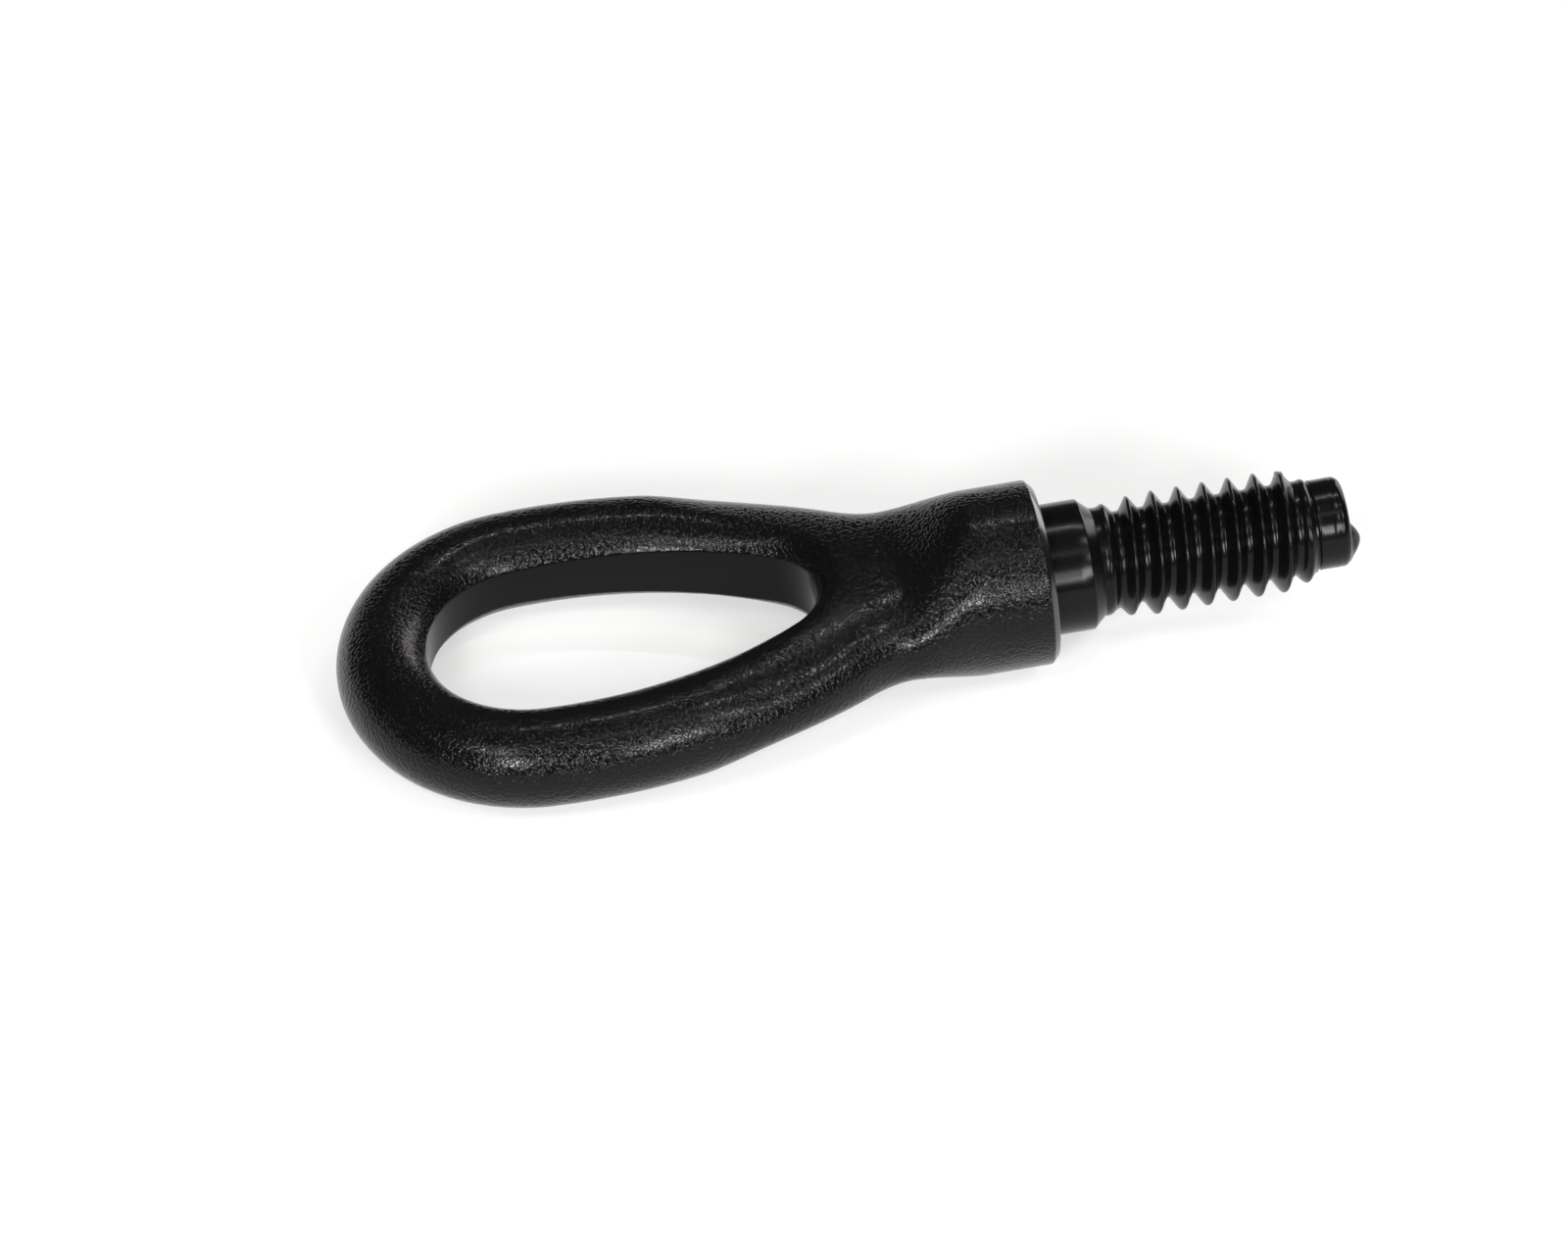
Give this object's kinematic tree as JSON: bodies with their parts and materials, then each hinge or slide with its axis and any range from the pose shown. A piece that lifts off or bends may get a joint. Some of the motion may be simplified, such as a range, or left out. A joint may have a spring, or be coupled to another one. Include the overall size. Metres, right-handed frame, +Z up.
{
  "type": "tow eye",
  "caption": "Forged screw-in tow eye: teardrop eye, flattened neck, shoulder boss, collar, coarse left-hand thread and plain pilot.",
  "frame": {"origin": "centre of the flat shoulder, on the axis of the collar and the thread", "axes": "+Z up, +X towards the thread; the thread's axis rises from +X by 4.26 degrees in the XZ plane, because the piece lies on the back of its boss and on the far end of its eye"},
  "size_m": [0.1588, 0.0616, 0.0293],
  "materials": {
    "black_coat": "semi-gloss black coat over forged steel, pebbled on the eye, neck and boss, smooth on the turned shank"
  },
  "bodies": {
    "root": {"tow_eye": "black_coat"}
  },
  "joints": []
}
